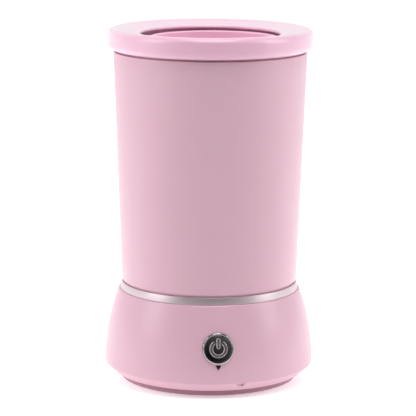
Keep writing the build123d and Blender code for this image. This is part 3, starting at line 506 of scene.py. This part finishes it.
# Gives a piece one finish and takes any other away.
def finish(piece, slotName):
    piece.data.materials.clear()
    piece.data.materials.append(finishes[slotName])


for nodeName, node in frame["nodes"].items():
    finish(node, slotOf[nodeName])
print("finishes made,", len(finishes))


# A new piece takes over from a CAD node: it rides on that node's body and has its slot's finish.
def takeOver(piece, nodeName, body):
    finish(piece, slotOf[nodeName])
    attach(piece, body)
    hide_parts(nodeName)
    return piece


# Lowest and highest corner of a CAD node in millimetres.
def nodeBox(nodeName):
    low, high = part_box(nodeName)
    return np.array(low) / mm, np.array(high) / mm


base = {
    "bottomRadius": 56.2, "widestZ": 9.2, "topRadius": 54.0, "wall": 2.4,
    "lowRound": 0.6, "widestRound": 1.2, "topRound": 0.8,
    "deckHole": 30.0, "ledgeRadius": 51.5, "ledgeLow": 6.4, "ledgeHigh": 8.4,
    "spigotOuter": 49.8, "spigotInner": 47.5,
    "shoulder": 1.4, "innerLift": 0.6,      # step in to the foot's ledge, and where the inner wall starts
    "arcSteps": 34, "grid": 2.2, "turns": 288,
}
baseLow, baseHigh = nodeBox("base_housing")
shellHigh = nodeBox("body_shell")[1]
bandLow, bandHigh = nodeBox("trim_band")
collarLow, collarHigh = nodeBox("collar_ring")
base["widestRadius"] = baseHigh[0]
base["lowZ"] = baseLow[2]
base["topZ"] = bandLow[2]
base["spigotZ"] = baseHigh[2]
baseRise = base["topZ"] - base["widestZ"]
basePull = base["widestRadius"] - base["topRadius"]
base["arcRadius"] = (baseRise ** 2 + basePull ** 2) / (2 * basePull)
base["arcCentre"] = base["widestRadius"] - base["arcRadius"]


# Radius of the flared wall, which is an arc that stands upright at the widest height: the arc's centre
# plus the root of its radius squared less the height above the widest place squared.
def baseRadius(z, inward=0.0):
    return base["arcCentre"] + np.sqrt((base["arcRadius"] - inward) ** 2 - (z - base["widestZ"]) ** 2)


# Heights run along the button's axis from the wall's surface, positive outwards; z is its place on the wall.
button = {
    "z": 30.0, "seatRadius": 9.3, "seatDepth": 1.6, "holeRadius": 8.1,
    "headRadius": 9.0, "headTop": 0.9, "sealTop": -1.1, "pocketRadius": 7.95, "pocketFloor": -0.9,
    "barrelRadius": 8.0, "barrelBottom": -18.0, "boreRadius": 5.58,
    "capRadius": 7.8, "capTop": 1.4, "capThickness": 0.8, "capEdge": 0.35,
    "capDish": 0.12, "dishInset": 0.5, "dishSteps": 14,
    "plungerRadius": 5.5, "plungerBottom": -12.5, "plungerBore": 4.2, "boreTop": -5.0,
    "ringMiddle": 4.2, "ringWidth": 2.0, "ringSteps": 96, "gapDegrees": 60.0, "endReach": 4.0,
    "barLength": 6.3, "barWidth": 2.2, "barSteps": 40,
    "symbolRise": 0.25, "symbolSink": 0.3, "symbolSeat": 0.06,
    "symbolSection": [(1.0, 0.15), (0.853, 0.8), (0.58, 1.0), (0.0, 0.86)],   # shares of half width and rise
}
lens = {"top": -9.6, "width": 3.2, "height": 2.9, "back": -2.2,
        "topMargin": 0.08, "sideMargin": 0.128, "tipMargin": 0.176}
tick = {"degrees": 12.0, "tilt": 14.0, "z": 8.2, "length": 4.4, "height": 2.0, "depth": 1.4}
inlet = {"planeY": 57.2, "width": 32.6, "height": 15.6, "z": 22.0, "round": 1.8}
cutterReach = 6.0      # how far a cutter stands out of the wall

# The button's own axes: square to the flared wall at its height, facing -Y.
lean = math.asin((button["z"] - base["widestZ"]) / base["arcRadius"])
buttonPlace = Matrix((
    (1, 0, 0, 0),
    (0, math.sin(lean), -math.cos(lean), -baseRadius(button["z"]) * mm),
    (0, math.cos(lean), math.sin(lean), button["z"] * mm),
    (0, 0, 0, 1),
))


# Turned profile: up the flared arc outside, over the deck with its spigot, and down the same arc moved in
# by the wall, to the ledge of the bottom cover. The arc's first two points are left out, which gives the
# rounding at the widest height its room.
def buildBase():
    lowCorner = (base["bottomRadius"], base["lowZ"])
    heights = np.linspace(base["widestZ"], base["topZ"], base["arcSteps"] + 1)
    side = np.column_stack([baseRadius(heights), heights])[2:-1]
    innerTop, innerLow = base["topZ"] - base["wall"], base["widestZ"] + base["innerLift"]
    inner = np.linspace(innerTop, innerLow, base["arcSteps"] // 2)
    innerSide = np.column_stack([baseRadius(inner, base["wall"]), inner])
    opening = base["bottomRadius"] - base["wall"]
    corners = [lowCorner, (base["widestRadius"], base["widestZ"])] + [tuple(p) for p in side]
    radii = [base["lowRound"], base["widestRound"]] + [0] * len(side)
    corners += [(base["topRadius"], base["topZ"]), (base["spigotOuter"], base["topZ"]),
                (base["spigotOuter"], base["spigotZ"]), (base["spigotInner"], base["spigotZ"]),
                (base["spigotInner"], base["topZ"]), (base["deckHole"], base["topZ"]),
                (base["deckHole"], base["topZ"] - base["wall"])]
    radii += [base["topRound"], 0, 0.3, 0.3, 0, 0.3, 0.3]
    corners += [tuple(p) for p in innerSide]
    radii += [0] * len(innerSide)
    corners += [(innerSide[-1][0] - base["shoulder"], base["ledgeHigh"]),
                (base["ledgeRadius"], base["ledgeHigh"]), (base["ledgeRadius"], base["ledgeLow"]),
                (opening, base["ledgeLow"]), (opening, base["lowZ"])]
    radii += [0, 0.2, 0.2, 0, 0.3]
    outline = refine(roundedOutline(corners, radii, 6), base["grid"])
    housing = lathe("baseHousing", outline, base["turns"])
    return carve(housing, baseCutters())


# Round cutter on the button's axis, from low to high.
def roundCutter(name, radius, low, high):
    return lathe(name, [(0, low), (radius, low), (radius, high), (0, high)], 96, place=buttonPlace)


# Triangle that points down, larger than the lens by a margin on each side.
def lensOutline():
    half = lens["width"] / 2 + lens["sideMargin"]
    top = lens["top"] + lens["topMargin"]
    return [(-half, top), (half, top), (0, lens["top"] - lens["height"] - lens["tipMargin"])]


# Button seat and hole, lens slot, tick notch on the lower slope and recess of the mains inlet at the back.
def baseCutters():
    seat = roundCutter("seatCutter", button["seatRadius"], -button["seatDepth"], cutterReach)
    hole = roundCutter("holeCutter", button["holeRadius"], -2 * cutterReach, cutterReach + 0.5)
    slot = prism("slotCutter", lensOutline(), lens["back"], cutterReach / 2, buttonPlace)
    turn = math.radians(tick["degrees"])
    radius = base["bottomRadius"] + tick["z"] - base["lowZ"] - tick["depth"] / 2
    spot = Vector((radius * math.sin(turn), -radius * math.cos(turn), tick["z"])) * mm
    facing = Matrix.Rotation(math.radians(tick["degrees"] + tick["tilt"]), 4, "Z")
    half = tick["length"] / 2
    front = -3 * tick["depth"]
    notchOutline = [(-half, front), (half, front), (half, 0), (-half, 0)]
    tickPlace = Matrix.Translation(spot) @ facing
    notch = prism("tickCutter", notchOutline, -tick["height"] / 2, tick["height"] / 2, tickPlace)
    halfWide, halfHigh = inlet["width"] / 2, inlet["height"] / 2
    mouth = roundedOutline(
        [(-halfWide, -halfHigh), (halfWide, -halfHigh), (halfWide, halfHigh), (-halfWide, halfHigh)],
        [inlet["round"]] * 4, 6,
    )
    inletPlace = Matrix(((-1, 0, 0, 0), (0, 0, 1, 0), (0, 1, 0, inlet["z"] * mm), (0, 0, 0, 1)))
    recess = prism("recessCutter", mouth, inlet["planeY"], inlet["planeY"] + cutterReach * 1.5, inletPlace)
    return [seat, hole, slot, notch, recess]


takeOver(buildBase(), "base_housing", "housing")
print("base made")


foot = {
    "inner": 46.0, "rounding": 0.7, "draft": 0.8, "innerLand": 1.5, "outerLand": 2.0,
    "grooves": 5, "grooveDepth": 0.35, "grooveWidth": 1.0, "grooveSlope": 0.3,
    "tongueInner": 48.1, "tongueOuter": 50.9,
}


# Turned profile: a flat ring with evenly spaced grooves underneath and a tongue that stands up into the base.
def buildFoot():
    high = nodeBox("foot_ring")[1]
    outer, top = high[0], base["lowZ"]
    pitch = (outer - foot["outerLand"] - foot["inner"] - foot["innerLand"]) / foot["grooves"]
    corners = [(foot["inner"], top), (foot["inner"], 0)]
    radii = [0.2, foot["rounding"]]
    for index in range(foot["grooves"]):
        start = foot["inner"] + foot["innerLand"] + index * pitch
        end = start + foot["grooveWidth"]
        corners += [(start, 0), (start + foot["grooveSlope"], foot["grooveDepth"]),
                    (end - foot["grooveSlope"], foot["grooveDepth"]), (end, 0)]
        radii += [0.1] * 4
    corners += [(outer - foot["draft"], 0), (outer, foot["draft"] * 1.5), (outer, top)]
    radii += [foot["rounding"], 0.5, 0.2]
    corners += [(foot["tongueOuter"], top), (foot["tongueOuter"], high[2]), (foot["tongueInner"], high[2]),
                (foot["tongueInner"], top)]
    radii += [0, 0.2, 0.2, 0]
    return lathe("footRing", roundedOutline(corners, radii, 4), 224)


takeOver(buildFoot(), "foot_ring", "housing")


band = {"flare": 0.85, "inner": 49.9, "edge": 0.3}


# Turned profile: a flat ring whose face is a cone, narrower at the top by the flare.
def buildBand():
    corners = [(band["inner"], bandLow[2]), (bandHigh[0], bandLow[2]),
               (bandHigh[0] - band["flare"], bandHigh[2]), (band["inner"], bandHigh[2])]
    outline = roundedOutline(corners, [0, band["edge"], band["edge"], 0], 8)
    return lathe("trimBand", outline, 288, sharpDegrees=50)


takeOver(buildBand(), "trim_band", "housing")


shell = {"bottomRadius": 52.1, "topRadius": 57.05, "wall": 2.2, "gap": 1.2, "gapDepth": 1.2,
         "ledgeRadius": 44.8, "ledgeLow": 186.5, "ledgeHigh": 189.0, "topRound": 0.5, "edgeRound": 0.35,
         "grid": 8.0}


# Radius of the taper at a height: straight between the band and the mouth.
def shellRadius(z):
    slope = (shell["topRadius"] - shell["bottomRadius"]) / (shellHigh[2] - bandHigh[2])
    return shell["bottomRadius"] + slope * (z - bandHigh[2])


# Turned profile: a thin straight taper with a shadow gap at its foot and a ledge inside near the mouth.
def buildShell():
    low, step, top = bandHigh[2], bandHigh[2] + shell["gap"], shellHigh[2]
    wall = shell["wall"]
    ledgeLow, ledgeHigh = shell["ledgeLow"], shell["ledgeHigh"]
    corners = [
        (shellRadius(low) - shell["gapDepth"], low), (shellRadius(step) - shell["gapDepth"], step),
        (shellRadius(step), step), (shell["topRadius"], top), (shell["topRadius"] - wall, top),
        (shellRadius(ledgeHigh) - wall, ledgeHigh), (shell["ledgeRadius"], ledgeHigh),
        (shell["ledgeRadius"], ledgeLow), (shellRadius(ledgeLow) - wall, ledgeLow),
        (shellRadius(low) - wall, low),
    ]
    radii = [0, 0.1, shell["edgeRound"], shell["topRound"], shell["topRound"], 0.3, 0.3, 0.3, 0.3, 0]
    return lathe("bodyShell", refine(roundedOutline(corners, radii, 5), shell["grid"]), 320)


takeOver(buildShell(), "body_shell", "housing")
print("shell made")


collar = {"topRound": 3.9, "lowRound": 4.5, "holeRadius": 41.2, "drop": 2.7, "lip": 1.8,
          "skirtWall": 3.5, "ceiling": 4.2, "skirtOuter": 54.38, "crownSag": 0.25,
          "seam": 1.0, "grid": 3.0}


# Bead with a quarter circle above and below, then a lip whose top falls to the hole with a slight hollow.
def buildCollar():
    radius, top = collarHigh[0], collarHigh[2]
    seamZ = shellHigh[2] + collar["seam"]
    crown = radius - collar["topRound"]
    lipTop = top - collar["drop"]
    half = collar["lip"] / 2
    beadTop = arcPoints((crown, top - collar["topRound"]), collar["topRound"], 0, 90, 16)
    share = np.linspace(0, 1, 15)[1:-1, None]
    slopeStart, slopeEnd = np.array([crown, top]), np.array([collar["holeRadius"] + half, lipTop])
    slope = slopeStart * (1 - share) + slopeEnd * share
    slope[:, 1] -= collar["crownSag"] * np.sin(share[:, 0] * np.pi) * (1 - share[:, 0])
    lipEdge = arcPoints((collar["holeRadius"] + half, lipTop - half), half, 90, 270, 12)
    skirtOuter, skirtInner = collar["skirtOuter"], collar["skirtOuter"] - collar["skirtWall"]
    inside = np.array([(skirtInner, top - collar["ceiling"]), (skirtInner, collarLow[2]),
                       (skirtOuter, collarLow[2]), (skirtOuter, seamZ)])
    lowRound = collar["lowRound"]
    beadLow = arcPoints((radius - lowRound, seamZ + lowRound), lowRound, 270, 360, 16)
    outline = np.concatenate([beadTop, slope, lipEdge, inside, beadLow])
    return lathe("collarRing", refine(outline, collar["grid"]), 288, sharpDegrees=50)


takeOver(buildCollar(), "collar_ring", "collar")
print("collar made")


pot = {"radius": 37.4, "wall": 1.6, "rim": 1.4, "rimHeight": 2.0, "corner": 6.0, "grid": 6.0}
well = {"radius": 40.8, "wall": 1.2, "floor": 4.0, "corner": 1.5, "grid": 6.0}


# Turned profile from axis to axis: round-cornered cup with a rolled rim, about the pot's own middle.
def buildPot():
    low, high = nodeBox("inner_pot")
    centre = ((low[0] + high[0]) / 2, (low[1] + high[1]) / 2)
    rimOuter = pot["radius"] + pot["rim"]
    inner = pot["radius"] - pot["wall"]
    half = pot["rimHeight"] / 2
    corners = [(pot["radius"], low[2]), (pot["radius"], high[2] - pot["rimHeight"]),
               (rimOuter, high[2] - pot["rimHeight"]), (rimOuter, high[2]), (inner, high[2]),
               (inner, low[2] + pot["wall"])]
    radii = [pot["corner"], 0.4, half * 0.98, half * 0.98, half, pot["corner"] - pot["wall"]]
    body = roundedOutline([(0, low[2])] + corners + [(0, low[2] + pot["wall"])], [0] + radii + [0], 12)
    body = refine(body, pot["grid"], closed=False)
    return lathe("innerPot", body, 256, centre=centre, sharpDegrees=50)


# Turned profile from axis to axis: cup with a thick floor and a flat flange at its mouth.
def buildWell():
    low, high = nodeBox("heater_well")
    outer = well["radius"] + well["wall"]
    flangeLow, floorTop = high[2] - well["wall"], low[2] + well["floor"]
    corners = [(0, low[2]), (outer, low[2]), (outer, flangeLow), (high[0], flangeLow), (high[0], high[2]),
               (well["radius"], high[2]), (well["radius"], floorTop), (0, floorTop)]
    radii = [0, 1.0, 0.6, 0.4, 0.4, 0.8, well["corner"], 0]
    return lathe("heatingWell", refine(roundedOutline(corners, radii, 8), well["grid"], closed=False), 224)


takeOver(buildPot(), "inner_pot", "pot")
takeOver(buildWell(), "heater_well", "housing")
print("pot and well made")


# Turned profile about the button's axis: bored barrel, wider head and a pocket for the cap.
def buildHead():
    b = button
    corners = [(b["boreRadius"], b["barrelBottom"]), (b["barrelRadius"], b["barrelBottom"]),
               (b["barrelRadius"], b["sealTop"]), (b["headRadius"], b["sealTop"]),
               (b["headRadius"], b["headTop"]), (b["pocketRadius"], b["headTop"]),
               (b["pocketRadius"], b["pocketFloor"]), (b["boreRadius"], b["pocketFloor"])]
    radii = [0.2, 0.3, 0.1, 0.2, 0.42, 0.3, 0.1, 0.1]
    return lathe("buttonHead", roundedOutline(corners, radii, 8), 192, sharpDegrees=50, place=buttonPlace)


# Turned profile from axis to axis: hollow plunger under a thin disc, whose top falls to its middle by the
# dish times one less the radius share squared.
def buildCap():
    b = button
    reach = np.linspace(b["capRadius"] - b["dishInset"], 0, b["dishSteps"])
    dish = b["capTop"] - b["capDish"] * (1 - (reach / b["capRadius"]) ** 2)
    top = np.column_stack([reach, dish])
    capLow = b["capTop"] - b["capThickness"]
    corners = [(0, b["boreTop"]), (b["plungerBore"], b["boreTop"]), (b["plungerBore"], b["plungerBottom"]),
               (b["plungerRadius"], b["plungerBottom"]), (b["plungerRadius"], capLow),
               (b["capRadius"], capLow), (b["capRadius"], b["capTop"])]
    body = roundedOutline(corners, [0, 0, 0.3, 0.3, 0, 0.15, 0], 6)[:-1]
    edge = arcPoints((b["capRadius"] - b["capEdge"], b["capTop"] - b["capEdge"]), b["capEdge"], 0, 90, 8)
    outline = np.concatenate([body, edge, top])
    return lathe("buttonCap", outline, 192, sharpDegrees=50, place=buttonPlace)


# Bevelled strip along a path of x and y: the section runs from the sunk foot over the bevels, and its
# width shrinks to a point-round end by the root of one less the end distance squared.
def bevelledStrip(path, width, capTop):
    b = button
    tangent = np.gradient(path, axis=0)
    tangent /= np.linalg.norm(tangent, axis=1)[:, None]
    normal = np.column_stack([-tangent[:, 1], tangent[:, 0]])
    travelled = np.concatenate([[0], np.cumsum(np.linalg.norm(np.diff(path, axis=0), axis=1))])
    nearEnd = np.minimum(travelled, travelled[-1] - travelled)
    half = width / 2
    swell = np.sqrt(np.clip(1 - (1 - np.clip(nearEnd / half, 0, 1)) ** 2, 0.0004, 1))
    section = np.array(b["symbolSection"]) * (1.0, b["symbolRise"])
    section = np.concatenate([[(1.0, -b["symbolSink"])], section])
    section = np.concatenate([section, section[-2::-1] * (-1, 1)])
    across = path[:, None, :] + normal[:, None, :] * (section[None, :, :1] * half * swell[:, None, None])
    height = capTop + section[:, 1][None, :] * np.ones(len(path))[:, None]
    vertices = np.concatenate([across, height[..., None]], -1)
    rows, columns = len(path), len(section)
    walls = gridFaces(rows, columns, wrapColumns=True)
    ends = np.stack([np.arange(columns), np.arange(columns)[::-1] + (rows - 1) * columns])
    return vertices.reshape(-1, 3), walls, ends


# Power sign: a strip along an open ring, r cos a and r sin a round from one side of the gap to the other,
# and a strip along an upright bar.
def buildSymbol():
    b = button
    gap = b["gapDegrees"] / 2 - b["endReach"]
    turn = np.radians(np.linspace(90 + gap, 450 - gap, b["ringSteps"] + 1))
    arc = np.column_stack([np.cos(turn), np.sin(turn)]) * b["ringMiddle"]
    upward = np.linspace(0.0, b["barLength"], b["barSteps"] + 1)
    bar = np.column_stack([np.zeros(len(upward)), upward])
    capTop = b["capTop"] - b["symbolSeat"]
    first, firstWalls, firstEnds = bevelledStrip(arc, b["ringWidth"], capTop)
    second, secondWalls, secondEnds = bevelledStrip(bar, b["barWidth"], capTop)
    shift = len(first)
    vertices = np.concatenate([first, second])
    faces = [np.concatenate([firstWalls, secondWalls + shift]), firstEnds, secondEnds + shift]
    return makePiece("powerSymbol", vertices, faces, sharpDegrees=20, flip=True, place=buttonPlace)


takeOver(buildHead(), "button_bezel", "housing")
takeOver(buildCap(), "button_cap", "button")
takeOver(buildSymbol(), "power_symbol", "button")
print("button made")


# One square face under the object, twice reach wide, which glows towards the back.
def buildStage():
    reach = floorGlow["reach"]
    corners = np.array([(-reach, -reach, 0), (reach, -reach, 0), (reach, reach, 0), (-reach, reach, 0)])
    floor = makePiece("studioFloor", corners / mm, np.array([[0, 1, 2, 3]]))
    recipe = Recipe("paleFloor")
    recipe.set(Base_Color=(0.93, 0.93, 0.93, 1.0), Roughness=0.9, Specular_IOR_Level=0.0)
    _, depth, _ = recipe.axes()
    share = ((depth - floorGlow["start"]) / (floorGlow["end"] - floorGlow["start"])).clamp(0.0, 1.0)
    glow = recipe.blend(share, colour(0, 0, 0), colour(1, 1, 1))
    recipe.set(Emission_Color=glow, Emission_Strength=floorGlow["strength"])
    floor.data.materials.append(recipe.material)


# Sky strength by direction: white behind the object, falling smoothly to a dim front, which is
# paler near the horizon. One ramp runs in y (front to back) and one in z (horizon to overhead).
def buildWorld():
    world = bpy.data.worlds.new("studio")
    world.use_nodes = True
    tree = world.node_tree
    background = tree.nodes["Background"]
    place = tree.nodes.new("ShaderNodeTexCoord")
    parts = tree.nodes.new("ShaderNodeSeparateXYZ")
    tree.links.new(place.outputs["Generated"], parts.inputs[0])

    def ramp(source, fromMin, fromMax, toMin, toMax):
        made = tree.nodes.new("ShaderNodeMapRange")
        made.interpolation_type = "SMOOTHSTEP"
        for key, value in zip(("From Min", "From Max", "To Min", "To Max"), (fromMin, fromMax, toMin, toMax)):
            if isinstance(value, (int, float)):
                made.inputs[key].default_value = value
            else:
                tree.links.new(value, made.inputs[key])
        tree.links.new(source, made.inputs["Value"])
        return made.outputs[0]

    front = ramp(parts.outputs["Z"], sky["horizonTop"], sky["overhead"], sky["frontLow"], sky["frontHigh"])
    strength = ramp(parts.outputs["Y"], sky["frontEnd"], sky["backStart"], front, sky["back"])
    tree.links.new(strength, background.inputs["Strength"])
    background.inputs["Color"].default_value = (1, 1, 1, 1)
    bpy.context.scene.world = world


# Rectangular light that faces the object's middle, placed by turn, height and distance from the axis.
def softbox(name, degrees, height, distance, size, power, aim=0.12):
    light = bpy.data.lights.new(name, "AREA")
    light.shape = "RECTANGLE"
    light.size, light.size_y = size
    light.energy = power
    lamp = bpy.data.objects.new(name, light)
    bpy.context.scene.collection.objects.link(lamp)
    turn = math.radians(degrees)
    spot = Vector((distance * math.sin(turn), -distance * math.cos(turn), height))
    lamp.location = spot
    lamp.rotation_euler = (Vector((0, 0, aim)) - spot).to_track_quat("-Z", "Y").to_euler()


lamps = {
    "leftBox": {"degrees": -75, "height": 0.65, "distance": 1.1, "size": (0.55, 1.1), "power": 6.0},
    "rightBox": {"degrees": 73, "height": 0.65, "distance": 1.1, "size": (0.55, 1.1), "power": 6.0},
    "topBox": {"degrees": 0, "height": 1.3, "distance": 0.35, "size": (0.7, 0.7), "power": 7.8},
}
camera = {"azimuth": -5.3, "distance": 1.2663, "height": 0.3359, "pitch": 10.5, "lens": 186.9,
          "yawOffset": 0.04, "roll": 0.36}
floorGlow = {"reach": 6.0, "start": -0.13, "end": 0.04, "strength": 0.72}   # fades in from start to end
sky = {"frontLow": 0.22, "frontHigh": 0.0, "horizonTop": 0.05, "overhead": 0.35,
       "frontEnd": -0.25, "backStart": 0.9, "back": 1.0}


# Eye at a distance and height from the axis, turned and pitched towards the object.
def buildCamera():
    data = bpy.data.cameras.new("view")
    data.lens = camera["lens"]
    data.sensor_width = 36.0
    eye = bpy.data.objects.new("view", data)
    bpy.context.scene.collection.objects.link(eye)
    turn = math.radians(camera["azimuth"])
    distance = camera["distance"]
    eye.location = (distance * math.sin(turn), -distance * math.cos(turn), camera["height"])
    facing = Matrix.Rotation(turn + math.radians(camera["yawOffset"]), 4, "Z")
    tilt = Matrix.Rotation(math.radians(90 - camera["pitch"]), 4, "X")
    roll = Matrix.Rotation(math.radians(camera["roll"]), 4, "Z")
    eye.rotation_euler = (facing @ tilt @ roll).to_euler()
    bpy.context.scene.camera = eye


buildStage()
buildWorld()
for lampName, values in lamps.items():
    softbox(lampName, **values)
buildCamera()
bpy.context.scene.view_settings.view_transform = "Standard"
print("room, lights and camera made")
